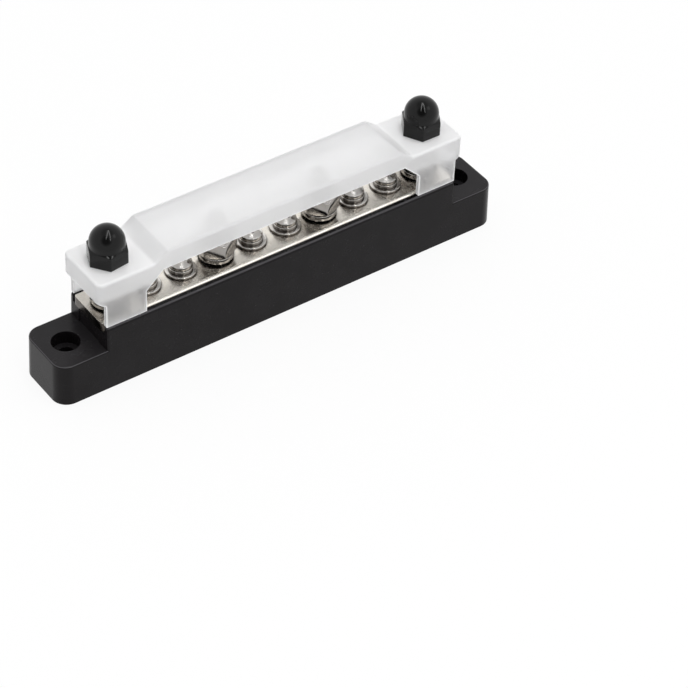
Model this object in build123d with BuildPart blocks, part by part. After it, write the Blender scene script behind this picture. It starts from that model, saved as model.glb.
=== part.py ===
from build123d import *

from math import cos, radians, sin, tan
import os

# Covered bus bar: a plated bar in a moulded base, with four studs, six terminal screws and a cover.
# All sizes are in millimetres. The origin is at the bottom centre of the base, +X runs along the
# bar and +Z is up.

# Places along the bar
STUD_PITCH = 34.0
STUD_COUNT = 4
SCREW_FROM_STUD = STUD_PITCH / 3

# Base moulding, whose sides and ends lean in by the draft from the bottom up
BASE_DRAFT = 1.5
EAR_HEIGHT = 12.9
EAR_CORNER_RADIUS = 4.5
EAR_EDGE_RADIUS = 0.5
RIM_HEIGHT = 20.6
RIM_WIDTH = 18.6
RIM_EDGE_RADIUS = 0.5
RIM_END_DISTANCE = 6.15
RAISED_CORNER_RADIUS = 1.1
END_RECESS_WIDTH = 10.0
END_RECESS_DEPTH = 0.6

# Mounting holes in the ears
MOUNT_FROM_RIM = 7.35
MOUNT_END_DISTANCE = 7.8
MOUNT_HOLE_DIAMETER = 4.5
MOUNT_HEAD_DIAMETER = 8.0
MOUNT_HEAD_DEPTH = 4.0

# Conductor bar
BAR_OVERHANG = 0.45
RIM_WALL = 1.35
BAR_THICKNESS = 3.0
BAR_CORNER_RADIUS = 2.2
BAR_EDGE_RADIUS = 1.6
BAR_PROUD = 0.3
BAR_SIDE_CLEARANCE = 0.15

# M6 studs: hex bolts let in from below
STUD_DIAMETER = 5.95
STUD_TIP_CHAMFER = 0.6
STUD_HOLE_CLEARANCE = 0.225
STUD_HEAD_FLATS = 10.0
STUD_HEAD_HEIGHT = 4.0
STUD_HEAD_RECESS = 0.85
STUD_HEAD_TURN = 30.0
STUD_POCKET_CLEARANCE = 0.1
STUD_IN_CAP = 4.25
STUD_UNDER_HOOD = 2.25

# Hex nuts on the studs
NUT_FLATS = 10.0
NUT_HEIGHT = 5.0
NUT_FACE_DIAMETER = 9.5
CHAMFER_ANGLE = 30.0
HEXAGON_HALF_ANGLE = 30.0
NUT_TURNS = (0.0, 23.0, 19.5, 52.0)
THREAD_CLEARANCE = 0.075

# Sprung split washers under the stud nuts
STUD_LOCK_BORE_CLEARANCE = 0.125
STUD_LOCK_SECTION = 1.85
STUD_LOCK_THICKNESS = 1.6
STUD_LOCK_RISE = 0.8
STUD_LOCK_CLEARANCE = 0.05
STUD_LOCK_SPLIT_ANGLE = 12.0
STUD_LOCK_TURNS = (95.0, 156.0, 110.0, 60.0)

# Terminal screws
SCREW_DIAMETER = 3.9
SCREW_HOLE_CLEARANCE = 0.05
SCREW_LENGTH = 7.9
SCREW_TIP_CHAMFER = 0.5
SCREW_HEAD_DIAMETER = 6.4
SCREW_HEAD_HEIGHT = 2.2
SCREW_HEAD_RIM = 1.2
SCREW_TURNS = (12.0, 40.0, 75.0, 22.0, 58.0, 5.0)
CROSS_WIDTH = 3.0
CROSS_SLOT = 0.9
CROSS_DEPTH = 1.5
CROSS_DRAFT = 7.0
SCREW_RELIEF_DIAMETER = 5.0
SCREW_END_ROOM = 3.0

# Washers under the screw heads
FLAT_WASHER_CLEARANCE = 0.2
FLAT_WASHER_SECTION = 2.3
FLAT_WASHER_THICKNESS = 0.8
SCREW_LOCK_CLEARANCE = 0.15
SCREW_LOCK_SECTION = 1.3
SCREW_LOCK_THICKNESS = 1.1
SCREW_LOCK_SLIT = 0.5
SCREW_LOCK_SLANT = 0.6

# Hollows in the underside
CORE_LENGTH = 9.3
CORE_SIDE_WALL = 2.5
CORE_WEB = 1.9
CORE_RADIUS = 1.0
CORE_DRAFT = 1.0

# Cover moulding
COVER_WALL = 1.3
COVER_SIDE_STEP = 0.35
COVER_OVERHANG = 1.7
COVER_CORNER_RADIUS = 1.8
COVER_EDGE_RADIUS = 0.8
COVER_STUD_CLEARANCE = 0.7
PLATFORM_ABOVE_RIM = 14.9
HOOD_ABOVE_PLATFORM = 2.9
HOOD_FROM_STUD = 9.1
HOOD_SLOPE_RUN = 4.0
HOOD_CREASE_RADIUS = 1.6
SKIRT_BELOW_PLATFORM = 2.9
SKIRT_IN_FROM_HOOD = 2.6
BRACE_BELOW_SKIRT = 5.0
LEG_FROM_HOOD = 2.7
LEG_LENGTH = 12.5
LIP_BELOW_PLATFORM = 6.4
LIP_DROP = 1.1
WINDOW_RADIUS = 0.8

# Cap nuts
CAP_FLATS = 10.2
CAP_HEX_HEIGHT = 4.7
CAP_DOME_STEP = 0.2
CAP_HEIGHT = 10.6
CAP_BORE_ROOM = 2.25
DRILL_POINT_ANGLE = 31.0
CAP_TURNS = (7.4, -0.8)

# Lengths and widths that follow from the sizes above
STUD_SPAN = STUD_PITCH * (STUD_COUNT - 1)
DRAFT_STEP = RIM_HEIGHT * tan(radians(BASE_DRAFT))
BASE_WIDTH = RIM_WIDTH + 2 * DRAFT_STEP
RIM_LENGTH = STUD_SPAN + 2 * RIM_END_DISTANCE
RAISED_LENGTH = RIM_LENGTH + 2 * DRAFT_STEP
MOUNT_SPACING = RIM_LENGTH + 2 * MOUNT_FROM_RIM
BASE_LENGTH = MOUNT_SPACING + 2 * MOUNT_END_DISTANCE
CHANNEL_WIDTH = RIM_WIDTH - 2 * RIM_WALL
BAR_LENGTH = RIM_LENGTH + 2 * BAR_OVERHANG
BAR_WIDTH = CHANNEL_WIDTH - 2 * BAR_SIDE_CLEARANCE
CORE_WIDTH = BASE_WIDTH - 2 * CORE_SIDE_WALL
COVER_LENGTH = BAR_LENGTH + 2 * COVER_OVERHANG
COVER_WIDTH = RIM_WIDTH - 2 * COVER_SIDE_STEP
HOOD_LENGTH = STUD_SPAN - 2 * HOOD_FROM_STUD
HOOD_FLAT_LENGTH = HOOD_LENGTH - 2 * HOOD_SLOPE_RUN
SKIRT_LENGTH = HOOD_LENGTH - 2 * SKIRT_IN_FROM_HOOD
LEG_SPACING = HOOD_LENGTH + 2 * LEG_FROM_HOOD

# Heights and diameters that follow
BAR_TOP = RIM_HEIGHT + BAR_PROUD
BAR_BOTTOM = BAR_TOP - BAR_THICKNESS
STUD_HEAD_TOP = STUD_HEAD_RECESS + STUD_HEAD_HEIGHT
STUD_HOLE_DIAMETER = STUD_DIAMETER + 2 * STUD_HOLE_CLEARANCE
THREADED_DIAMETER = STUD_DIAMETER + 2 * THREAD_CLEARANCE
STUD_LOCK_BORE = STUD_DIAMETER + 2 * STUD_LOCK_BORE_CLEARANCE
STUD_LOCK_DIAMETER = STUD_LOCK_BORE + 2 * STUD_LOCK_SECTION
FLAT_WASHER_BORE = SCREW_DIAMETER + 2 * FLAT_WASHER_CLEARANCE
FLAT_WASHER_DIAMETER = FLAT_WASHER_BORE + 2 * FLAT_WASHER_SECTION
SCREW_LOCK_BORE = SCREW_DIAMETER + 2 * SCREW_LOCK_CLEARANCE
SCREW_LOCK_DIAMETER = SCREW_LOCK_BORE + 2 * SCREW_LOCK_SECTION
CAP_DOME_DIAMETER = CAP_FLATS - 2 * CAP_DOME_STEP
STUD_LOCK_BOTTOM = BAR_TOP + STUD_LOCK_CLEARANCE
NUT_BOTTOM = STUD_LOCK_BOTTOM + STUD_LOCK_THICKNESS + STUD_LOCK_RISE + STUD_LOCK_CLEARANCE
SCREW_LOCK_BOTTOM = BAR_TOP + FLAT_WASHER_THICKNESS
SCREW_HEAD_BOTTOM = SCREW_LOCK_BOTTOM + SCREW_LOCK_THICKNESS
SCREW_TIP = SCREW_HEAD_BOTTOM - SCREW_LENGTH
SCREW_RELIEF_DEPTH = BAR_BOTTOM - SCREW_TIP + SCREW_END_ROOM
CORE_DEPTH = BAR_BOTTOM - SCREW_RELIEF_DEPTH - CORE_WEB
PLATFORM_HEIGHT = RIM_HEIGHT + PLATFORM_ABOVE_RIM
HOOD_HEIGHT = PLATFORM_HEIGHT + HOOD_ABOVE_PLATFORM
SKIRT_HEIGHT = PLATFORM_HEIGHT - SKIRT_BELOW_PLATFORM
BRACE_HEIGHT = SKIRT_HEIGHT - BRACE_BELOW_SKIRT
LIP_HEIGHT = PLATFORM_HEIGHT - LIP_BELOW_PLATFORM
LIP_INNER_HEIGHT = LIP_HEIGHT - LIP_DROP
END_STUD_LENGTH = PLATFORM_HEIGHT + STUD_IN_CAP - STUD_HEAD_TOP
MIDDLE_STUD_LENGTH = HOOD_HEIGHT - COVER_WALL - STUD_UNDER_HOOD - STUD_HEAD_TOP
CAP_BORE_DEPTH = STUD_IN_CAP + CAP_BORE_ROOM

# Studs stand at equal spaces, and two screws share each space between them
STUD_X = [STUD_PITCH * i - STUD_SPAN / 2 for i in range(STUD_COUNT)]
SCREW_X = [x + side * SCREW_FROM_STUD for x in STUD_X for side in (-1, 1)][1:-1]
STUD_LENGTHS = [END_STUD_LENGTH] + [MIDDLE_STUD_LENGTH] * (STUD_COUNT - 2) + [END_STUD_LENGTH]


def save(piece, name):
    """Label a finished piece and write its STEP file."""
    piece.part.label = name
    export_step(piece.part, f"parts/{name}.step")


def upright_plane(x, z):
    """A plane across the piece that stands at x, with its origin at height z on the axis."""
    return Plane(origin=(x, 0, z), x_dir=(1, 0, 0), z_dir=(0, -1, 0))


def level_plane(x, z, turn=0.0):
    """A level plane at height z on the axis at x, turned about that axis."""
    angle = radians(turn)
    return Plane(origin=(x, 0, z), x_dir=(cos(angle), sin(angle), 0), z_dir=(0, 0, 1))


def turned_blank(x, bottom, height, flats, face_diameter, low_chamfer=True):
    """The turned shape that takes the sharp corners off the faces of a hexagon."""
    corner_radius = flats / 2 / cos(radians(HEXAGON_HALF_ANGLE))
    face_radius = face_diameter / 2
    drop = (corner_radius - face_radius) * tan(radians(CHAMFER_ANGLE))
    low_radius = face_radius if low_chamfer else corner_radius
    with BuildPart() as blank:
        with BuildSketch(upright_plane(x, bottom)):
            with BuildLine():
                Polyline(
                    (0, 0),
                    (low_radius, 0),
                    (corner_radius, drop),
                    (corner_radius, height - drop),
                    (face_radius, height),
                    (0, height),
                    close=True,
                )
            make_face()
        revolve(axis=Axis((x, 0, 0), (0, 0, 1)))
    return blank.part


def make_base():
    """The moulding: two low ears, and a raised section with a channel that holds the bar."""
    pocket_radius = STUD_HEAD_FLATS / 2 + STUD_POCKET_CLEARANCE
    with BuildPart() as base:
        with BuildSketch():
            RectangleRounded(BASE_LENGTH, BASE_WIDTH, EAR_CORNER_RADIUS)
        extrude(amount=EAR_HEIGHT, taper=BASE_DRAFT)
        fillet(base.faces().sort_by(Axis.Z)[-1].edges(), EAR_EDGE_RADIUS)

        with BuildSketch():
            RectangleRounded(RAISED_LENGTH, BASE_WIDTH, RAISED_CORNER_RADIUS)
        extrude(amount=RIM_HEIGHT, taper=BASE_DRAFT)
        fillet(base.faces().sort_by(Axis.Z)[-1].edges(), RIM_EDGE_RADIUS)

        # Channel for the bar, open at both ends
        with BuildSketch(Plane.XY.offset(BAR_BOTTOM)):
            Rectangle(BASE_LENGTH, CHANNEL_WIDTH)
        extrude(amount=BAR_THICKNESS, mode=Mode.SUBTRACT)

        # Shallow recess in each end wall, from the ear up to the channel
        with BuildSketch(Plane.XY.offset(EAR_HEIGHT)):
            with GridLocations(RAISED_LENGTH, 0, 2, 1):
                Rectangle(2 * END_RECESS_DEPTH, END_RECESS_WIDTH)
        extrude(amount=BAR_BOTTOM - EAR_HEIGHT, mode=Mode.SUBTRACT)

        # Hollows in the underside, between the stud heads
        with BuildSketch():
            with Locations(*[(x, 0) for x in SCREW_X]):
                RectangleRounded(CORE_LENGTH, CORE_WIDTH, CORE_RADIUS)
        extrude(amount=CORE_DEPTH, taper=CORE_DRAFT, mode=Mode.SUBTRACT)

        # Pockets for the stud heads, and the studs' holes above them
        with BuildSketch():
            with Locations(*[(x, 0) for x in STUD_X]):
                RegularPolygon(pocket_radius, 6, major_radius=False, rotation=STUD_HEAD_TURN)
        extrude(amount=STUD_HEAD_TOP, mode=Mode.SUBTRACT)
        with Locations(*[(x, 0, BAR_BOTTOM) for x in STUD_X]):
            Hole(STUD_HOLE_DIAMETER / 2)

        # Room under the bar for the screws' ends
        with Locations(*[(x, 0, BAR_BOTTOM) for x in SCREW_X]):
            Hole(SCREW_RELIEF_DIAMETER / 2, depth=SCREW_RELIEF_DEPTH)

        # Mounting holes
        with Locations(Plane.XY.offset(EAR_HEIGHT)):
            with GridLocations(MOUNT_SPACING, 0, 2, 1):
                CounterBoreHole(MOUNT_HOLE_DIAMETER / 2, MOUNT_HEAD_DIAMETER / 2, MOUNT_HEAD_DEPTH)
    save(base, "base")


def make_bar():
    """The plated bar: rounded in plan, with its long upper edges rolled over."""
    with BuildPart() as bar:
        with BuildSketch(Plane.YZ) as section:
            with Locations((0, BAR_BOTTOM + BAR_THICKNESS / 2)):
                Rectangle(BAR_WIDTH, BAR_THICKNESS)
            fillet(section.vertices().group_by(Axis.Y)[-1], BAR_EDGE_RADIUS)
        extrude(amount=BAR_LENGTH / 2, both=True)

        with BuildSketch(Plane.XY.offset(BAR_BOTTOM)):
            RectangleRounded(BAR_LENGTH, BAR_WIDTH, BAR_CORNER_RADIUS)
        extrude(amount=BAR_THICKNESS, mode=Mode.INTERSECT)

        with Locations(*[(x, 0, BAR_TOP) for x in STUD_X]):
            Hole(STUD_HOLE_DIAMETER / 2)
        with Locations(*[(x, 0, BAR_TOP) for x in SCREW_X]):
            Hole(SCREW_DIAMETER / 2 + SCREW_HOLE_CLEARANCE)
    save(bar, "bar")


def make_stud(x, length, name):
    """A hex bolt that stands up through the base and the bar."""
    blank = turned_blank(x, STUD_HEAD_RECESS, STUD_HEAD_HEIGHT, STUD_HEAD_FLATS, NUT_FACE_DIAMETER)
    with BuildPart() as stud:
        with BuildSketch(level_plane(x, STUD_HEAD_RECESS)):
            RegularPolygon(STUD_HEAD_FLATS / 2, 6, major_radius=False, rotation=STUD_HEAD_TURN)
        extrude(amount=STUD_HEAD_HEIGHT)
        add(blank, mode=Mode.INTERSECT)
        with BuildSketch(level_plane(x, STUD_HEAD_TOP)):
            Circle(STUD_DIAMETER / 2)
        extrude(amount=length)
        chamfer(stud.faces().sort_by(Axis.Z)[-1].edges(), STUD_TIP_CHAMFER)
    save(stud, name)


def make_stud_lock_washer(x, turn, name):
    """A split washer sprung into one open turn of a left-hand coil."""
    mean_radius = (STUD_LOCK_DIAMETER + STUD_LOCK_BORE) / 4
    turns = 1 - STUD_LOCK_SPLIT_ANGLE / 360
    with BuildPart() as washer:
        with BuildLine(Plane.XY.offset(STUD_LOCK_BOTTOM + STUD_LOCK_THICKNESS / 2)) as coil:
            Helix(STUD_LOCK_RISE / turns, STUD_LOCK_RISE, mean_radius, lefthand=True)
        with BuildSketch(Plane(origin=coil.line @ 0, x_dir=(1, 0, 0), z_dir=(0, -1, 0))):
            Rectangle((STUD_LOCK_DIAMETER - STUD_LOCK_BORE) / 2, STUD_LOCK_THICKNESS)
        sweep(path=coil.line, is_frenet=True)
    washer.part = washer.part.rotate(Axis.Z, turn).translate((x, 0, 0))
    save(washer, name)


def make_stud_nut(x, turn, name):
    """A hex nut with both faces chamfered."""
    blank = turned_blank(x, NUT_BOTTOM, NUT_HEIGHT, NUT_FLATS, NUT_FACE_DIAMETER)
    with BuildPart() as nut:
        with BuildSketch(level_plane(x, NUT_BOTTOM, turn)):
            RegularPolygon(NUT_FLATS / 2, 6, major_radius=False)
            Circle(THREADED_DIAMETER / 2, mode=Mode.SUBTRACT)
        extrude(amount=NUT_HEIGHT)
        add(blank, mode=Mode.INTERSECT)
    save(nut, name)


def make_terminal_screw(x, turn, name):
    """A pan head screw with a cross recess."""
    shank_radius = SCREW_DIAMETER / 2
    head_radius = SCREW_HEAD_DIAMETER / 2
    with BuildPart() as screw:
        with BuildSketch(upright_plane(x, SCREW_HEAD_BOTTOM)):
            with BuildLine():
                Polyline(
                    (0, SCREW_HEAD_HEIGHT),
                    (0, -SCREW_LENGTH),
                    (shank_radius - SCREW_TIP_CHAMFER, -SCREW_LENGTH),
                    (shank_radius, SCREW_TIP_CHAMFER - SCREW_LENGTH),
                    (shank_radius, 0),
                    (head_radius, 0),
                    (head_radius, SCREW_HEAD_RIM),
                )
                TangentArc((0, SCREW_HEAD_HEIGHT), (head_radius, SCREW_HEAD_RIM), tangent=(1, 0))
            make_face()
        revolve(axis=Axis((x, 0, 0), (0, 0, 1)))

        # Cross recess, narrower towards its bottom
        with BuildSketch(level_plane(x, SCREW_HEAD_BOTTOM + SCREW_HEAD_HEIGHT, turn)):
            Rectangle(CROSS_WIDTH, CROSS_SLOT)
            Rectangle(CROSS_SLOT, CROSS_WIDTH)
        extrude(amount=-CROSS_DEPTH, taper=CROSS_DRAFT, mode=Mode.SUBTRACT)
    save(screw, name)


def make_screw_lock_washer(x, turn, name):
    """A split washer pressed flat under a screw head, with its slanting slit."""
    angle = radians(turn)
    middle = SCREW_LOCK_BOTTOM + SCREW_LOCK_THICKNESS / 2
    with BuildPart() as washer:
        with BuildSketch(level_plane(x, SCREW_LOCK_BOTTOM)):
            Circle(SCREW_LOCK_DIAMETER / 2)
            Circle(SCREW_LOCK_BORE / 2, mode=Mode.SUBTRACT)
        extrude(amount=SCREW_LOCK_THICKNESS)
        with BuildSketch(Plane(origin=(x, 0, middle), x_dir=(0, 0, 1), z_dir=(cos(angle), sin(angle), 0))):
            with BuildLine():
                Polyline(
                    (-SCREW_LOCK_THICKNESS, -SCREW_LOCK_SLANT - SCREW_LOCK_SLIT / 2),
                    (-SCREW_LOCK_THICKNESS, -SCREW_LOCK_SLANT + SCREW_LOCK_SLIT / 2),
                    (SCREW_LOCK_THICKNESS, SCREW_LOCK_SLANT + SCREW_LOCK_SLIT / 2),
                    (SCREW_LOCK_THICKNESS, SCREW_LOCK_SLANT - SCREW_LOCK_SLIT / 2),
                    close=True,
                )
            make_face()
        extrude(amount=SCREW_LOCK_DIAMETER, mode=Mode.SUBTRACT)
    save(washer, name)


def make_screw_flat_washer(x, name):
    """A plain washer between a screw's split washer and the bar."""
    with BuildPart() as washer:
        with BuildSketch(level_plane(x, BAR_TOP)):
            Circle(FLAT_WASHER_DIAMETER / 2)
            Circle(FLAT_WASHER_BORE / 2, mode=Mode.SUBTRACT)
        extrude(amount=FLAT_WASHER_THICKNESS)
    save(washer, name)


def cover_block(inset):
    """The cover's outer form as a block, smaller all round by inset, and deeper by it below."""
    with BuildPart() as block:
        with BuildSketch(Plane.XZ) as section:
            with BuildLine():
                Polyline(
                    (0, RIM_HEIGHT - 2 * inset),
                    (COVER_LENGTH / 2, RIM_HEIGHT - 2 * inset),
                    (COVER_LENGTH / 2, PLATFORM_HEIGHT),
                    (HOOD_LENGTH / 2, PLATFORM_HEIGHT),
                    (HOOD_FLAT_LENGTH / 2, HOOD_HEIGHT),
                    (0, HOOD_HEIGHT),
                )
                mirror(about=Plane.YZ)
            make_face()
            creases = section.vertices().filter_by(lambda v: abs(v.X) < (COVER_LENGTH + HOOD_LENGTH) / 4)
            fillet(creases.filter_by(lambda v: v.Y > RIM_HEIGHT and v.X != 0), HOOD_CREASE_RADIUS)
            if inset:
                offset(amount=-inset, kind=Kind.INTERSECTION)
        extrude(amount=COVER_WIDTH / 2 - inset, both=True)
        fillet(block.edges().filter_by(Axis.Z), COVER_CORNER_RADIUS - inset)
    return block.part


def make_cover():
    """The cover: a thin shell with a hood, two platforms, four legs and open windows between them."""
    outside = cover_block(0)
    inside = cover_block(COVER_WALL)
    leg_outer = LEG_SPACING / 2 + LEG_LENGTH
    headroom = HOOD_HEIGHT + COVER_WALL
    crease_limit = (COVER_LENGTH + HOOD_LENGTH) / 4
    with BuildPart() as cover:
        add(outside)
        top_outline = cover.edges().filter_by_position(Axis.Z, PLATFORM_HEIGHT, HOOD_HEIGHT)
        creases = top_outline.filter_by(Axis.Y).filter_by(lambda e: abs(e.center().X) < crease_limit)
        fillet(top_outline - creases, COVER_EDGE_RADIUS)
        add(inside, mode=Mode.SUBTRACT)

        # What the side view keeps: the skirt, the slanting braces, the legs and the end lips
        with BuildSketch(Plane.XZ) as side_view:
            with BuildLine():
                Polyline(
                    (0, SKIRT_HEIGHT),
                    (SKIRT_LENGTH / 2, SKIRT_HEIGHT),
                    (LEG_SPACING / 2, BRACE_HEIGHT),
                    (LEG_SPACING / 2, RIM_HEIGHT),
                    (leg_outer, RIM_HEIGHT),
                    (leg_outer, LIP_INNER_HEIGHT),
                    (COVER_LENGTH / 2, LIP_HEIGHT),
                    (COVER_LENGTH / 2, headroom),
                    (0, headroom),
                )
                mirror(about=Plane.YZ)
            make_face()
            corners = side_view.vertices().filter_by_position(Axis.Y, BRACE_HEIGHT, SKIRT_HEIGHT)
            fillet(corners.filter_by_position(Axis.X, -LEG_SPACING / 2, LEG_SPACING / 2), WINDOW_RADIUS)
        extrude(amount=COVER_WIDTH, both=True, mode=Mode.INTERSECT)

        with Locations((STUD_X[0], 0, PLATFORM_HEIGHT), (STUD_X[-1], 0, PLATFORM_HEIGHT)):
            Hole(STUD_DIAMETER / 2 + COVER_STUD_CLEARANCE)
    save(cover, "cover")


def make_cap_nut(x, turn, name):
    """A closed nut: a hexagon with a dome, and a blind threaded bore."""
    dome_radius = CAP_DOME_DIAMETER / 2
    bore_radius = THREADED_DIAMETER / 2
    blank = turned_blank(
        x, PLATFORM_HEIGHT, CAP_HEX_HEIGHT, CAP_FLATS, CAP_DOME_DIAMETER, low_chamfer=False
    )
    with BuildPart() as cap:
        with BuildSketch(level_plane(x, PLATFORM_HEIGHT, turn)):
            RegularPolygon(CAP_FLATS / 2, 6, major_radius=False)
        extrude(amount=CAP_HEX_HEIGHT)
        add(blank, mode=Mode.INTERSECT)

        with BuildSketch(upright_plane(x, PLATFORM_HEIGHT)):
            with BuildLine():
                Polyline(
                    (0, CAP_HEIGHT),
                    (0, 0),
                    (dome_radius, 0),
                    (dome_radius, CAP_HEIGHT - dome_radius),
                )
                RadiusArc((dome_radius, CAP_HEIGHT - dome_radius), (0, CAP_HEIGHT), -dome_radius)
            make_face()
        revolve(axis=Axis((x, 0, 0), (0, 0, 1)))

        with BuildSketch(upright_plane(x, PLATFORM_HEIGHT)):
            with BuildLine():
                Polyline(
                    (0, 0),
                    (bore_radius, 0),
                    (bore_radius, CAP_BORE_DEPTH),
                    (0, CAP_BORE_DEPTH + bore_radius * tan(radians(DRILL_POINT_ANGLE))),
                    close=True,
                )
            make_face()
        revolve(axis=Axis((x, 0, 0), (0, 0, 1)), mode=Mode.SUBTRACT)
    save(cap, name)


os.makedirs("parts", exist_ok=True)
make_base()
make_bar()
for i, (x, length) in enumerate(zip(STUD_X, STUD_LENGTHS)):
    make_stud(x, length, f"stud_{i + 1}")
    make_stud_lock_washer(x, STUD_LOCK_TURNS[i], f"stud_lock_washer_{i + 1}")
    make_stud_nut(x, NUT_TURNS[i], f"stud_nut_{i + 1}")
for i, x in enumerate(SCREW_X):
    make_terminal_screw(x, SCREW_TURNS[i], f"terminal_screw_{i + 1}")
    make_screw_lock_washer(x, SCREW_TURNS[i] + 90, f"screw_lock_washer_{i + 1}")
    make_screw_flat_washer(x, f"screw_flat_washer_{i + 1}")
make_cover()
make_cap_nut(STUD_X[0], CAP_TURNS[0], "cap_nut_left")
make_cap_nut(STUD_X[-1], CAP_TURNS[1], "cap_nut_right")
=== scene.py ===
"""Dresses the covered bus bar: threads, springs, soft edges and finishes over the CAD frame."""
import logging
from dataclasses import dataclass
from enum import Enum
from math import atan, atan2, cos, hypot, pi, radians, sin, sqrt, tan
from typing import Callable, Sequence, Union

import bmesh
import bpy
from mathutils import Matrix, Vector


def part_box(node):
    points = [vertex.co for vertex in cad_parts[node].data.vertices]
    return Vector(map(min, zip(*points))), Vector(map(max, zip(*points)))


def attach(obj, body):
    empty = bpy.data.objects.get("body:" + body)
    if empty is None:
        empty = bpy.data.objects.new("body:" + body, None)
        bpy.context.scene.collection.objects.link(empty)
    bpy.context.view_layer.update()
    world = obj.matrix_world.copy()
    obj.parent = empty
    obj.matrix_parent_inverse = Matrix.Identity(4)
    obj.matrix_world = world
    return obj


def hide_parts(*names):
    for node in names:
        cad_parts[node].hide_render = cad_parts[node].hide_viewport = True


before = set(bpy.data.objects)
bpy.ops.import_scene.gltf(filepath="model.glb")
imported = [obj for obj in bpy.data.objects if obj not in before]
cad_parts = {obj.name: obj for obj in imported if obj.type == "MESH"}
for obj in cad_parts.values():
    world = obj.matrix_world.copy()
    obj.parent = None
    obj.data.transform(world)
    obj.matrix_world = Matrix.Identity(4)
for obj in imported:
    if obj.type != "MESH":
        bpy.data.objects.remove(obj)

LOG = logging.getLogger("bus_bar")
MM = 0.001
FULL_TURN = 2 * pi
SIXTH = pi / 3
CHAMFER = radians(30)
WHITE = (1.0, 1.0, 1.0)
BLACK = (0.0, 0.0, 0.0)
UPWARDS = (0.0, 0.0, 1.0)
ROUND_STEPS = 72
HEX_STEPS = 48
CORNER_STEPS = 3
# How near vertices are merged, in a turned mesh and in a CAD node's.
TOUCHING = 0.0002 * MM
CAD_TOUCHING = 0.001 * MM
# A shorter length counts as none.
NOTHING = 1e-9
# A turned rim starts this far from its faces, until its chamfers give it its height.
RIM_INSET = 0.6 * MM

Point = tuple[float, float]
Triple = tuple[float, float, float]
Colour = tuple[float, float, float]
# The range of a value, then the results at its two ends.
Ramp = tuple[float, float, float, float]
Value = Union[float, Triple, "Signal"]


class Slot(Enum):
    """The record's material slots."""

    BASE = "base_moulding"
    BAR = "bar_plating"
    STEEL = "bright_steel"
    COVER = "cover_moulding"
    CAP = "cap_moulding"


class Signal:
    """A node socket that is reckoned with like a number."""

    def __init__(self, tree: "ShaderTree", socket: bpy.types.NodeSocket) -> None:
        """Keeps the socket and the tree that it belongs to."""
        self.tree = tree
        self.socket = socket

    def _reckon(self, operation: str, first: Value, second: Value) -> "Signal":
        """Joins two values with a Math node."""
        return self.tree.make("ShaderNodeMath", {"operation": operation}, {0: first, 1: second})

    def __add__(self, other: Value) -> "Signal":
        """Adds."""
        return self._reckon("ADD", self, other)

    def __radd__(self, other: Value) -> "Signal":
        """Adds from the right."""
        return self._reckon("ADD", other, self)

    def __sub__(self, other: Value) -> "Signal":
        """Takes away."""
        return self._reckon("SUBTRACT", self, other)

    def __rsub__(self, other: Value) -> "Signal":
        """Is taken away."""
        return self._reckon("SUBTRACT", other, self)

    def __mul__(self, other: Value) -> "Signal":
        """Multiplies."""
        return self._reckon("MULTIPLY", self, other)

    def __rmul__(self, other: Value) -> "Signal":
        """Multiplies from the right."""
        return self._reckon("MULTIPLY", other, self)


class ShaderTree:
    """The node tree of a finish or of the world."""

    def __init__(self, tree: bpy.types.NodeTree) -> None:
        """Keeps the tree that the nodes go into."""
        self.tree = tree

    def node(self, kind: str, settings: dict, inputs: dict) -> bpy.types.Node:
        """Makes any node.

        Args:
            kind: The node's type.
            settings: Its properties by name.
            inputs: Its inputs by name or index, each a Signal or a constant.

        Returns:
            The node.
        """
        made = self.tree.nodes.new(kind)
        for key, value in settings.items():
            setattr(made, key, value)
        for key, value in inputs.items():
            self.feed(made.inputs[key], value)
        return made

    def make(self, kind: str, settings: dict, inputs: dict, output: Union[int, str] = 0) -> Signal:
        """Makes any node and gives one of its outputs."""
        return Signal(self, self.node(kind, settings, inputs).outputs[output])

    def feed(self, socket: bpy.types.NodeSocket, value: Value) -> None:
        """Links a signal to a socket, or sets a constant on it.

        Args:
            socket: The input.
            value: A Signal, a number, a colour or a vector.
        """
        if isinstance(value, Signal):
            self.tree.links.new(value.socket, socket)
        elif isinstance(value, tuple) and socket.type == "RGBA":
            socket.default_value = (*value, 1.0)
        else:
            socket.default_value = value

    def dot(self, first: Value, second: Value) -> Signal:
        """Gives 1 where two directions of length 1 are the same, and 0 where they are at right angles."""
        settings = {"operation": "DOT_PRODUCT"}
        return self.make("ShaderNodeVectorMath", settings, {0: first, 1: second}, "Value")

    def between(self, value: Signal, ramp: Ramp) -> Signal:
        """Maps a range of a value smoothly on another, and holds it there.

        Args:
            value: The value.
            ramp: The range, then the results at its two ends.

        Returns:
            The mapped value.
        """
        inputs = dict(zip(("From Min", "From Max", "To Min", "To Max"), ramp))
        inputs["Value"] = value
        return self.make("ShaderNodeMapRange", {"interpolation_type": "SMOOTHSTEP"}, inputs)


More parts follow.
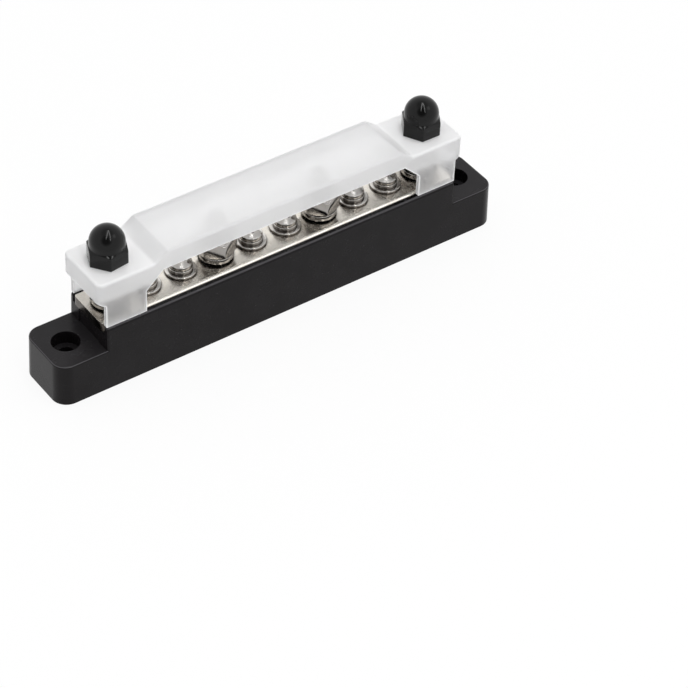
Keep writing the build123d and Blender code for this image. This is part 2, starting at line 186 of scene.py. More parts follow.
class FinishTree(ShaderTree):
    """The node tree of one finish, with its shader and the masks that several finishes use."""

    edge_samples: int = 6
    edge_ramp: Ramp = (0.93, 0.9995, 1.0, 0.0)
    off_upright: Ramp = (0.45, 0.7, 0.0, 1.0)
    off_level: Ramp = (0.85, 0.98, 1.0, 0.0)
    gap_samples: int = 8
    gap_ramp: Ramp = (0.2, 0.95, 1.0, 0.0)

    def __init__(self, name: str) -> None:
        """Makes the material.

        Args:
            name: The material's name.
        """
        self.material = bpy.data.materials.new(name)
        self.material.use_nodes = True
        super().__init__(self.material.node_tree)
        self.shader = self.tree.nodes["Principled BSDF"]
        self.output = self.tree.nodes["Material Output"]

    def place(self) -> Signal:
        """Gives the object coordinates, in metres."""
        return self.make("ShaderNodeTexCoord", {}, {}, "Object")

    def stretched(self, place: Signal, scale: Triple) -> Signal:
        """Scales coordinates on each axis."""
        return self.make("ShaderNodeVectorMath", {"operation": "MULTIPLY"}, {0: place, 1: scale})

    def noise(self, place: Signal, size: float, detail: float = 2.0, roughness: float = 0.5) -> Signal:
        """Makes soft noise round a half, with features of a given size in metres."""
        inputs = {"Vector": place, "Scale": 1.0 / size, "Detail": detail, "Roughness": roughness}
        return self.make("ShaderNodeTexNoise", {}, inputs)

    def blend(self, share: Signal, first: Value, second: Value) -> Signal:
        """Mixes two colours by the share of the second one."""
        return self.make("ShaderNodeMix", {"data_type": "RGBA"}, {0: share, 6: first, 7: second}, 2)

    def bump(self, height: Signal, depth: float, under: Union[Signal, None] = None) -> Signal:
        """Turns a height into a normal.

        Args:
            height: The height, from 0 to 1.
            depth: The depth of a height of 1, in metres.
            under: Another bump that this one adds to.

        Returns:
            The normal.
        """
        inputs = {"Height": height, "Distance": depth, "Strength": 1.0}
        if under is not None:
            inputs["Normal"] = under
        return self.make("ShaderNodeBump", {}, inputs)

    def edges(self, reach: float) -> Signal:
        """Finds the edges of the surface.

        Args:
            reach: How far from an edge its mark fades out.

        Returns:
            1 on an edge, and 0 away from one.
        """
        rounded = self.make("ShaderNodeBevel", {"samples": self.edge_samples}, {"Radius": reach})
        flat = self.make("ShaderNodeNewGeometry", {}, {}, "Normal")
        return self.between(self.dot(rounded, flat), self.edge_ramp)

    def facing_up(self, ramp: Ramp) -> Signal:
        """Marks the surface by how far it faces up, from 0 where it is upright to 1 where it is level."""
        normal = self.make("ShaderNodeNewGeometry", {}, {}, "Normal")
        return self.between(self.make("ShaderNodeSeparateXYZ", {}, {0: normal}, "Z"), ramp)

    def rolled(self) -> Signal:
        """Gives 1 along the middle of a rounding from a level top to an upright side, and 0 beside it."""
        return self.facing_up(self.off_upright) * self.facing_up(self.off_level)

    def shaded_gaps(self, reach: float) -> Signal:
        """Finds corners and gaps that little light gets into.

        Args:
            reach: How near other surfaces have to be.

        Returns:
            0 in the open, and up to 1 in a deep gap.
        """
        settings = {"samples": self.gap_samples}
        lit = self.make("ShaderNodeAmbientOcclusion", settings, {"Distance": reach}, "AO")
        return self.between(lit, self.gap_ramp)

    def layer(self, share: Signal, under: bpy.types.Node, over: bpy.types.Node) -> None:
        """Shows one shader over another on the surface, by the share of the upper one."""
        layers = {0: share, 1: Signal(self, under.outputs[0]), 2: Signal(self, over.outputs[0])}
        self.feed(self.output.inputs["Surface"], self.make("ShaderNodeMixShader", {}, layers))

    def wear(self, inputs: dict) -> bpy.types.Material:
        """Feeds the shader and gives the finished material.

        Args:
            inputs: The shader's inputs by name.

        Returns:
            The material.
        """
        for key, value in inputs.items():
            self.feed(self.shader.inputs[key], value)
        return self.material


@dataclass(frozen=True)
class MouldedBlack:
    """A black moulded plastic with a fine skin, flow waves, scuffs and paler clouds, with a painted sheen on
    its tops and a painted highlight along its roundings.
    """

    name: str
    colour: Colour
    # The paler colour of scuffs and clouds, also used for the painted highlight and the painted sheen.
    scuff_and_sheen_colour: Colour
    roughness: float
    gloss: float
    # Shares of the paler colour: a painted highlight along roundings, and a painted sheen on tops over the
    # ramp below.
    rounding_highlight: float = 0.55
    top_sheen: float = 0.1
    tops: Ramp = (0.9, 1.0, 0.0, 1.0)
    cloud_size: float = 6 * MM
    cloudy: float = 0.06
    uneven: Ramp = (0.3, 0.7, -0.04, 0.05)
    scuff_size: float = 0.5 * MM
    scuff_stretch: Triple = (0.25, 1.0, 2.2)
    scuffs: Ramp = (0.60, 0.74, 0.0, 1.0)
    handled: Ramp = (0.45, 0.7, 0.0, 1.0)
    scuff_paleness: float = 0.1
    scuff_roughness: float = 0.12
    skin_size: float = 0.35 * MM
    skin_depth: float = 0.003 * MM
    wave_size: float = 9 * MM
    wave_depth: float = 0.02 * MM

    def material(self) -> bpy.types.Material:
        """Builds the finish.

        Returns:
            The material.
        """
        tree = FinishTree(self.name)
        place = tree.place()
        cloud = tree.noise(place, self.cloud_size, detail=3.0)
        stretched = tree.stretched(place, self.scuff_stretch)
        scuff = tree.noise(stretched, self.scuff_size, detail=4.0, roughness=0.7)
        marks = tree.between(scuff, self.scuffs) * tree.between(cloud, self.handled)
        paler = marks * self.scuff_paleness + cloud * self.cloudy
        # Painted highlight along the roundings and painted sheen on the level tops.
        paler += tree.rolled() * self.rounding_highlight + tree.facing_up(self.tops) * self.top_sheen
        skin = tree.bump(tree.noise(place, self.skin_size, detail=3.0, roughness=0.6), self.skin_depth)
        wave = tree.noise(place, self.wave_size, detail=1.0)
        return tree.wear({
            "Base Color": tree.blend(paler, self.colour, self.scuff_and_sheen_colour),
            "Roughness": tree.between(cloud, self.uneven) + self.roughness + marks * self.scuff_roughness,
            "Normal": tree.bump(wave, self.wave_depth, skin),
            "Specular IOR Level": self.gloss,
        })


@dataclass(frozen=True)
class PlatedMetal:
    """A plated metal with a fine grain, soft stains and pits, with painted shade in its gaps and on its
    upright sides.
    """

    name: str
    colour: Colour
    stain: Colour
    roughness: float
    # The colour of the painted shade, and how near other surfaces have to be for a gap to get it.
    shade_colour: Colour = (0.07, 0.055, 0.045)
    reach: float = 1.5 * MM
    # How far upright sides are darkened with painted shade, over the ramp below.
    side_shade: float = 0.0
    sides: Ramp = (0.2, 0.85, 1.0, 0.0)
    cloud_size: float = 2.6 * MM
    stained: Ramp = (0.45, 0.8, 0.0, 0.7)
    uneven: Ramp = (0.35, 0.7, -0.05, 0.07)
    pit_size: float = 0.45 * MM
    pits: Ramp = (0.66, 0.74, 0.0, 1.0)
    pit_stain: float = 0.3
    pit_roughness: float = 0.1
    pit_depth: float = 0.4
    grain: Triple = (0.08, 1.0, 1.0)
    grain_size: float = 0.16 * MM
    grain_depth: float = 0.0015 * MM
    grain_roughness: float = 0.16

    def material(self) -> bpy.types.Material:
        """Builds the finish.

        Returns:
            The material.
        """
        tree = FinishTree(self.name)
        place = tree.place()
        cloud = tree.noise(place, self.cloud_size, detail=4.0, roughness=0.6)
        stretched = tree.stretched(place, self.grain)
        grain = tree.noise(stretched, self.grain_size, detail=3.0, roughness=0.6)
        pits = tree.between(tree.noise(place, self.pit_size), self.pits)
        stains = tree.between(cloud, self.stained) + pits * self.pit_stain
        clean = tree.blend(stains, self.colour, self.stain)
        # Painted shade on the upright sides.
        shaded = tree.blend(tree.facing_up(self.sides) * self.side_shade, clean, self.shade_colour)
        streaks = (grain - 0.5) * self.grain_roughness + pits * self.pit_roughness
        return tree.wear({
            # Painted shade in gaps and corners, from ambient occlusion.
            "Base Color": tree.blend(tree.shaded_gaps(self.reach), shaded, self.shade_colour),
            "Roughness": tree.between(cloud, self.uneven) + self.roughness + streaks,
            "Metallic": 1.0,
            "Normal": tree.bump(grain - pits * self.pit_depth, self.grain_depth),
        })


@dataclass(frozen=True)
class FrostedPlastic:
    """A milky, lightly frosted clear moulding with a painted highlight along its edges, a painted glow on its
    upright edges, and whiter by height on its tops and upper sides.
    """

    name: str
    colour: Colour
    thicker: Colour
    roughness: float
    clearness: float
    refraction: float = 1.46
    cloud_size: float = 7 * MM
    clouded: Ramp = (0.35, 0.65, 0.0, 1.0)
    uneven: Ramp = (0.3, 0.7, -0.03, 0.04)
    frost_size: float = 0.3 * MM
    frost_depth: float = 0.0015 * MM
    # Along the edges: a whiter layer as painted highlight, and on upright edges an emission as painted glow.
    edge: float = 0.8 * MM
    edge_highlight_share: float = 0.9
    edge_highlight_colour: Colour = (0.97, 0.97, 0.975)
    edge_roughness: float = 0.3
    edge_glow_strength: float = 0.2
    tops: Ramp = (0.3, 0.9, 0.0, 1.0)
    # Whiter shares by height: for tops, most below the lower height; for sides, only above the lower height.
    top_white: Ramp = (35.6 * MM, 37.8 * MM, 0.75, 0.4)
    side_white: Ramp = (28.0 * MM, 31.0 * MM, 0.0, 0.4)

    def material(self) -> bpy.types.Material:
        """Builds the finish.

        Returns:
            The material.
        """
        tree = FinishTree(self.name)
        place = tree.place()
        cloud = tree.noise(place, self.cloud_size, detail=3.0, roughness=0.6)
        skin = tree.bump(tree.noise(place, self.frost_size, roughness=0.6), self.frost_depth)
        height = tree.make("ShaderNodeSeparateXYZ", {}, {0: place}, "Z")
        tops = tree.facing_up(self.tops)
        sides = 1.0 - tops
        edges = tree.edges(self.edge)
        # Whiter by height: lower tops most, the highest tops less, and sides only above a set height.
        height_white = tops * tree.between(height, self.top_white) + sides * tree.between(height, self.side_white)
        # The whiter layer's share: the painted edge highlight, or the whitening by height where that is more.
        whiter = tree.make("ShaderNodeMath", {"operation": "MAXIMUM"}, {0: edges * self.edge_highlight_share, 1: height_white})
        white = tree.node("ShaderNodeBsdfPrincipled", {}, {
            "Base Color": self.edge_highlight_colour,
            "Roughness": self.edge_roughness,
            "Normal": skin,
            # Painted glow on the upright edges.
            "Emission Color": tree.blend(edges * sides, BLACK, WHITE),
            "Emission Strength": self.edge_glow_strength,
        })
        tree.layer(whiter, tree.shader, white)
        return tree.wear({
            "Base Color": tree.blend(tree.between(cloud, self.clouded), self.colour, self.thicker),
            "Roughness": tree.between(cloud, self.uneven) + self.roughness,
            "Transmission Weight": self.clearness,
            "IOR": self.refraction,
            "Normal": skin,
        })


class Form:
    """A mesh in the making, round the upright axis at its own middle."""

    def __init__(self) -> None:
        """Starts empty."""
        self.bm = bmesh.new()

    def chain(self, points: Sequence[Point], closed: bool = False) -> list[bmesh.types.BMEdge]:
        """Draws a profile of radius and height, one vertex extruded from point to point.

        Args:
            points: The profile's points.
            closed: Whether its end joins its start.

        Returns:
            The profile's edges.
        """
        first = bmesh.ops.create_vert(self.bm, co=(points[0][0], 0.0, points[0][1]))["vert"][0]
        last, edges = first, []
        for radius, height in points[1:]:
            grown = bmesh.ops.extrude_vert_indiv(self.bm, verts=[last])
            last = grown["verts"][0]
            last.co = (radius, 0.0, height)
            edges += grown["edges"]
        if closed:
            edges.append(self.bm.edges.new((last, first)))
        return edges

    def turn(self, points: Sequence[Point], steps: int, closed: bool = False) -> None:
        """Turns a profile all the way round."""
        self.coil(points, 1, steps, rise=0.0, closed=closed)

    def coil(self, points: Sequence[Point], turns: float, steps: int, rise: float,
             closed: bool = False) -> None:
        """Winds a profile up along the axis.

        Args:
            points: The profile's points.
            turns: How far it winds, negative for a left-hand coil.
            steps: How many steps a whole turn has.
            rise: How far it climbs in all.
            closed: Whether the profile is a loop.
        """
        count = max(1, round(abs(turns) * steps))
        edges = self.chain(points, closed)
        verts = list({v for edge in edges for v in edge.verts})
        bmesh.ops.spin(
            self.bm, geom=verts + edges, cent=(0, 0, 0), axis=(0, 0, 1), dvec=(0, 0, rise / count),
            angle=turns * FULL_TURN, steps=count, use_merge=turns == 1 and not rise, use_duplicate=False,
        )
        self.weld()

    def stack(self, count: int, pitch: float) -> None:
        """Repeats the mesh upwards and joins the copies.

        Args:
            count: How many there are in all.
            pitch: How far apart they stand.
        """
        one = self.bm.verts[:] + self.bm.edges[:] + self.bm.faces[:]
        for step in range(1, count):
            copied = bmesh.ops.duplicate(self.bm, geom=one)["geom"]
            verts = [thing for thing in copied if isinstance(thing, bmesh.types.BMVert)]
            bmesh.ops.translate(self.bm, verts=verts, vec=(0, 0, step * pitch))
        self.weld()

    def narrow(self, limit: Callable[[float], float]) -> None:
        """Draws in whatever reaches further from the axis than it may.

        Args:
            limit: Gives the furthest reach at a height.
        """
        for vert in self.bm.verts:
            reach = hypot(vert.co.x, vert.co.y)
            most = limit(vert.co.z)
            if reach > most:
                vert.co.x *= most / reach
                vert.co.y *= most / reach

    def weld(self, near: float = TOUCHING) -> None:
        """Merges vertices that fell together."""
        bmesh.ops.remove_doubles(self.bm, verts=self.bm.verts[:], dist=near)

    def close(self) -> None:
        """Fills every open loop."""
        open_edges = [edge for edge in self.bm.edges if edge.is_boundary]
        bmesh.ops.holes_fill(self.bm, edges=open_edges, sides=0)

    def cut(self, height: float, keep_below: bool) -> None:
        """Cuts the mesh level and throws one side away.

        Args:
            height: Where the cut is.
            keep_below: Whether the part below it stays.
        """
        bmesh.ops.bisect_plane(
            self.bm, geom=self.bm.verts[:] + self.bm.edges[:] + self.bm.faces[:],
            plane_co=(0, 0, height), plane_no=(0, 0, 1), clear_outer=keep_below, clear_inner=not keep_below,
        )

    def thread(self, flank: Sequence[Point], pitch: float, steps: int, start: float, low: float,
               high: float, reach: Callable[[float], float]) -> None:
        """Winds a thread, draws its tip in and cuts it level at both ends.

        Args:
            flank: The radii of its rising flank, each at a share of the pitch.
            pitch: How far a turn climbs.
            steps: How many steps a turn has.
            start: The height that the winding starts at, below the lower end.
            low: The height of its lower end.
            high: The height of its upper end.
            reach: Gives the furthest reach at a height.
        """
        outline = [*flank, *((radius, 1 - share) for radius, share in reversed(flank))]
        self.coil([(radius, start + share * pitch) for radius, share in outline], 1, steps, pitch)
        self.stack(int((high - start) / pitch) + 2, pitch)
        self.narrow(reach)
        self.cut(high, keep_below=True)
        self.cut(low, keep_below=False)
        self.close()

    def flatten_to_hexagon(self, flats: float, rim: float, face: float, low: float, high: float,
                           chamfer_low: bool = True) -> None:
        """Draws the turned rim in to a hexagon, with its corners chamfered to the face circles.

        Args:
            flats: The hexagon's width across flats.
            rim: The radius of the turned rim that becomes the hexagon.
            face: The radius of the face circle.
            low: The height of the lower face.
            high: The height of the upper face.
            chamfer_low: Whether the lower face is chamfered too.
        """
        for vert in self.bm.verts:
            if abs(hypot(vert.co.x, vert.co.y) - rim) > CAD_TOUCHING:
                continue
            angle = atan2(vert.co.y, vert.co.x)
            radius = flats / 2 / cos(angle % SIXTH - SIXTH / 2)
            drop = max(0.0, radius - face) * tan(CHAMFER)
            if vert.co.z > (low + high) / 2:
                height = high - drop
            else:
                height = low + (drop if chamfer_low else 0.0)
            vert.co = (radius * cos(angle), radius * sin(angle), height)

    def soften(self, width: float, sharper_than: float = 25.0, segments: int = 2) -> None:
        """Rounds every edge that is sharper than an angle.

        Args:
            width: How far the rounding reaches.
            sharper_than: The least angle between faces, in degrees.
            segments: How many steps the rounding has.
        """
        bmesh.ops.recalc_face_normals(self.bm, faces=self.bm.faces[:])
        limit = radians(sharper_than)
        sharp = [edge for edge in self.bm.edges if edge.is_manifold and edge.calc_face_angle(0.0) > limit]
        bmesh.ops.bevel(
            self.bm, geom=sharp, offset=width, offset_type="OFFSET", affect="EDGES", segments=segments,
            profile=0.5, material=-1, clamp_overlap=True,
        )

    def set_down(self, x: float, turn: float = 0.0) -> None:
        """Turns the mesh about its axis, in degrees, and moves it to its place along the bar."""
        spot = Matrix.Translation((x, 0, 0)) @ Matrix.Rotation(radians(turn), 4, "Z")
        bmesh.ops.transform(self.bm, matrix=spot, verts=self.bm.verts[:])

    def finished(self, name: str, finishes: Sequence[bpy.types.Material],
                 smooth_to: float = 32.0) -> bpy.types.Object:
        """Makes the object.

        Args:
            name: The piece's name.
            finishes: Its materials.
            smooth_to: Edges up to this angle are shaded smooth.

        Returns:
            The object.
        """
        self.weld()
        bmesh.ops.recalc_face_normals(self.bm, faces=self.bm.faces[:])
        for face in self.bm.faces:
            face.smooth = True
        mesh = bpy.data.meshes.new(name)
        self.bm.to_mesh(mesh)
        self.bm.free()
        mesh.set_sharp_from_angle(angle=radians(smooth_to))
        for finish in finishes:
            mesh.materials.append(finish)
        made = bpy.data.objects.new(name, mesh)
        bpy.context.scene.collection.objects.link(made)
        return made


def stance(node: str) -> Triple:
    """Gives the place of a CAD node's axis along the bar, then its lowest and highest point."""
    low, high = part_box(node)
    return (low.x + high.x) / 2, low.z, high.z


def settle(piece: bpy.types.Object, body: str, slot: Slot, *nodes: str) -> None:
    """Lets a piece ride on its body and stand for its CAD nodes.

    Args:
        piece: The piece.
        body: The CAD body that it moves with.
        slot: The record's slot of its finish; not used.
        nodes: The CAD nodes that it stands for.
    """
    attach(piece, body)
    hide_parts(*nodes)
    LOG.info("%s rides on %s, %d faces", piece.name, body, len(piece.data.polygons))


def soft_section(inner: float, outer: float, low: float, high: float, radius: float) -> list[Point]:
    """Draws a rectangle with rounded corners as a closed profile.

    Args:
        inner: Its inner radius.
        outer: Its outer radius.
        low: Its lower height.
        high: Its upper height.
        radius: The radius of its corners.

    Returns:
        The points, in order.
    """
    corners = ((outer, low, -90), (outer, high, 0), (inner, high, 90), (inner, low, 180))
    points = []
    for x, z, start in corners:
        centre_x = x + (radius if x == inner else -radius)
        centre_z = z + (radius if z == low else -radius)
        for step in range(CORNER_STEPS + 1):
            angle = radians(start + 90 / CORNER_STEPS * step)
            points.append((centre_x + radius * cos(angle), centre_z + radius * sin(angle)))
    return points


@dataclass(frozen=True)
class Rounding:
    """A wider rounding in place of the small one along a moulding's upper outline."""

    top: float
    length: float
    width: float
    corner: float
    narrow: float
    wide: float
    depth_slack: float = 0.01 * MM
    inset_slack: float = 0.04 * MM

    def apply(self, form: Form) -> None:
        """Spreads the vertices of the small rounding over the wide one.

        Args:
            form: The merged moulding.
        """
        form.bm.normal_update()
        more = self.wide - self.narrow
        for vert in form.bm.verts:
            depth = self.top - vert.co.z
            away = self._outward(vert.co.x, vert.co.y)
            inset = self._inset(vert.co.x, vert.co.y)
            if depth > self.narrow + self.depth_slack or inset > self.narrow + self.inset_slack:
                continue
            level = min(1.0, max(0.0, 1 - depth / self.narrow))
            out = sqrt(max(0.0, 1 - level * level))
            vert.co += Vector((away.x * (out - 1) * more, away.y * (out - 1) * more, (level - 1) * more))

    def _past(self, x: float, y: float) -> Vector:
        """Gives how far past the start of its nearest corner a place is, along the bar and across."""
        return Vector((abs(x) - self.length / 2 + self.corner, abs(y) - self.width / 2 + self.corner))

    def _outward(self, x: float, y: float) -> Vector:
        """Gives the level direction that leads out of the outline at a place.

        Args:
            x: The place along the bar.
            y: The place across it.

        Returns:
            The direction.
        """
        past = self._past(x, y)
        over = Vector((max(0.0, past.x), max(0.0, past.y)))
        if over.length < NOTHING:
            return Vector((0.0, 1.0 if y > 0 else -1.0))
        over.normalize()
        return Vector((over.x if x > 0 else -over.x, over.y if y > 0 else -over.y))

    def _inset(self, x: float, y: float) -> float:
        """Gives how far inside the outline a place is.

        Args:
            x: The place along the bar.
            y: The place across it.

        Returns:
            The distance.
        """
        past = self._past(x, y)
        if past.x > 0 and past.y > 0:
            return self.corner - past.length
        return self.corner - max(past.x, past.y)


@dataclass
class Moulding:
    """A CAD node whose merged copy gets softened edges and a finish."""

    node: str
    name: str
    body: str
    slot: Slot
    finish: bpy.types.Material
    edge: float
    sharper_than: float = 50.0
    flat_to: float = 0.4
    smooth_to: float = 30.0
    rounding: Union[Rounding, None] = None

    def build(self) -> None:
        """Copies the node, merges it, softens its sharp edges and dresses it."""
        form = Form()
        form.bm.from_mesh(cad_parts[self.node].data)
        form.weld(CAD_TOUCHING)
        bmesh.ops.dissolve_limit(
            form.bm, angle_limit=radians(self.flat_to), verts=form.bm.verts[:], edges=form.bm.edges[:],
            use_dissolve_boundaries=False,
        )
        if self.rounding:
            self.rounding.apply(form)
        form.soften(self.edge, self.sharper_than)
        piece = form.finished(self.name, [self.finish], self.smooth_to)
        weighted = piece.modifiers.new("even_normals", "WEIGHTED_NORMAL")
        weighted.keep_sharp = True
        settle(piece, self.body, self.slot, self.node)


@dataclass
class Stud:
    """A hex bolt with a rolled metric thread."""

    number: int
    finish: bpy.types.Material
    radius: float = 2.975 * MM
    root: float = 2.42 * MM
    pitch: float = 1.0 * MM
    head_flats: float = 10.0 * MM
    head_face: float = 4.75 * MM
    head_height: float = 4.0 * MM
    head_turn: float = 30.0
    head_edge: float = 0.08 * MM
    thread_start: float = 20.0 * MM
    thread_soft: float = 0.03 * MM
    nose: float = 0.7 * MM
    lead_height: float = 0.05 * MM
    lead_length: float = 1.4 * MM
    lead_slope: float = 0.75
    steps: int = 56

    def build(self) -> None:
        """Builds the head, the shank and the thread."""
        node = f"stud_{self.number}"
        x, bottom, top = stance(node)
        form = Form()
        self._thread(form, top)
        self._head(form, bottom)
        form.set_down(x, self.head_turn)
        piece = form.finished(f"threaded_stud_{self.number}", [self.finish], smooth_to=40.0)
        settle(piece, "base", Slot.STEEL, node)

    def _thread(self, form: Form, top: float) -> None:
        """Winds the thread and cuts it level at both ends.

        Args:
            form: The mesh.
            top: The height of the tip.
        """
        root, crest, soft = self.root, self.radius, self.thread_soft
        flank = [(root, 0.0), (root, 0.09), (root + 2 * soft, 0.16), (crest - soft, 0.42), (crest, 0.46)]
        start = self.thread_start - 2 * self.pitch
        form.thread(flank, self.pitch, self.steps, start, self.thread_start, top,
                    lambda height: self._lead(top - height))

    def _lead(self, depth: float) -> float:
        """Gives the rounded lead's radius, which grows to the thread's.

        Args:
            depth: How far below the tip.

        Returns:
            The radius.
        """
        lead = self.root + self.lead_height
        if depth < self.nose:
            rise = 1 - max(0.0, depth) / self.nose
            return lead - self.nose + self.nose * sqrt(1 - rise * rise)
        return max(lead, lead + self.lead_slope * (depth - self.lead_length))

    def _head(self, form: Form, bottom: float) -> None:
        """Turns the shank and the head, and flattens the head's sides.

        Args:
            form: The mesh.
            bottom: The height of the head's underside.
        """
        rim = self.head_flats / 2 / cos(SIXTH / 2)
        top = bottom + self.head_height
        head = Form()
        head.turn([
            (0.0, bottom), (self.head_face, bottom), (rim, bottom + RIM_INSET), (rim, top - RIM_INSET),
            (self.head_face, top), (self.radius, top), (self.radius, self.thread_start),
            (0.0, self.thread_start),
        ], HEX_STEPS)
        head.flatten_to_hexagon(self.head_flats, rim, self.head_face, bottom, top)
        head.soften(self.head_edge)
        spare = bpy.data.meshes.new("head")
        head.bm.to_mesh(spare)
        head.bm.free()
        form.bm.from_mesh(spare)
        bpy.data.meshes.remove(spare)


@dataclass
class HexNut:
    """A chamfered hex nut with a countersunk bore."""

    number: int
    turn: float
    finish: bpy.types.Material
    flats: float = 10.0 * MM
    face: float = 4.75 * MM
    bore: float = 3.05 * MM
    countersink: float = 0.35 * MM
    edge: float = 0.09 * MM

    def build(self) -> None:
        """Turns the nut, flattens its sides and softens its edges."""
        node = f"stud_nut_{self.number}"
        x, low, high = stance(node)
        rim = self.flats / 2 / cos(SIXTH / 2)
        sink = self.countersink
        form = Form()
        form.turn([
            (self.bore, low + sink), (self.bore + sink, low), (self.face, low), (rim, low + RIM_INSET),
            (rim, high - RIM_INSET), (self.face, high), (self.bore + sink, high), (self.bore, high - sink),
        ], HEX_STEPS, closed=True)
        form.flatten_to_hexagon(self.flats, rim, self.face, low, high)
        form.soften(self.edge)
        form.set_down(x, self.turn)
        settle(form.finished(f"hex_nut_{self.number}", [self.finish]), node, Slot.STEEL, node)


@dataclass
class SprungWasher:
    """A split washer sprung into one open turn of a left-hand coil."""

    number: int
    turn: float
    finish: bpy.types.Material
    inner: float = 3.1 * MM
    outer: float = 4.95 * MM
    thickness: float = 1.6 * MM
    split: float = 12.0
    corner: float = 0.16 * MM
    steps: int = 96

    def build(self) -> None:
        """Winds the section and closes its ends."""
        node = f"stud_lock_washer_{self.number}"
        x, low, high = stance(node)
        rise = high - low - self.thickness
        form = Form()
        section = soft_section(self.inner, self.outer, low, low + self.thickness, self.corner)
        form.coil(section, self.split / 360 - 1, self.steps, rise, closed=True)
        form.close()
        form.set_down(x, self.turn)
        piece = form.finished(f"sprung_washer_{self.number}", [self.finish])
        settle(piece, f"stud_washer_{self.number}", Slot.STEEL, node)


@dataclass
class PressedWasher:
    """A split washer that its screw has pressed flat, with a slanting slit."""

    number: int
    turn: float
    finish: bpy.types.Material
    inner: float = 2.1 * MM
    outer: float = 3.4 * MM
    slit: float = 0.5 * MM
    slant: float = 0.6 * MM
    corner: float = 0.14 * MM

    def build(self) -> None:
        """Winds the section nearly all round and slants its ends."""
        node = f"screw_lock_washer_{self.number}"
        x, low, high = stance(node)
        mean = (self.inner + self.outer) / 2
        gap = self.slit / mean / FULL_TURN
        form = Form()
        section = soft_section(self.inner, self.outer, low, high, self.corner)
        form.coil(section, 1 - gap, ROUND_STEPS, rise=0.0, closed=True)
        form.close()
        for vert in form.bm.verts:
            share = (vert.co.z - (low + high) / 2) / (high - low)
            slew = Matrix.Rotation(gap * pi - share * self.slant / mean, 3, "Z")
            vert.co = slew @ vert.co
        form.set_down(x, self.turn)
        piece = form.finished(f"pressed_washer_{self.number}", [self.finish])
        settle(piece, f"screw_washers_{self.number}", Slot.STEEL, node)


@dataclass
class PlainWasher:
    """A stamped plain washer with rolled edges."""

    number: int
    finish: bpy.types.Material
    inner: float = 2.15 * MM
    outer: float = 4.45 * MM
    corner: float = 0.2 * MM

    def build(self) -> None:
        """Turns the section."""
        node = f"screw_flat_washer_{self.number}"
        x, low, high = stance(node)
        form = Form()
        form.turn(soft_section(self.inner, self.outer, low, high, self.corner), ROUND_STEPS, closed=True)
        form.set_down(x)
        piece = form.finished(f"plain_washer_{self.number}", [self.finish])
        settle(piece, f"screw_washers_{self.number}", Slot.STEEL, node)


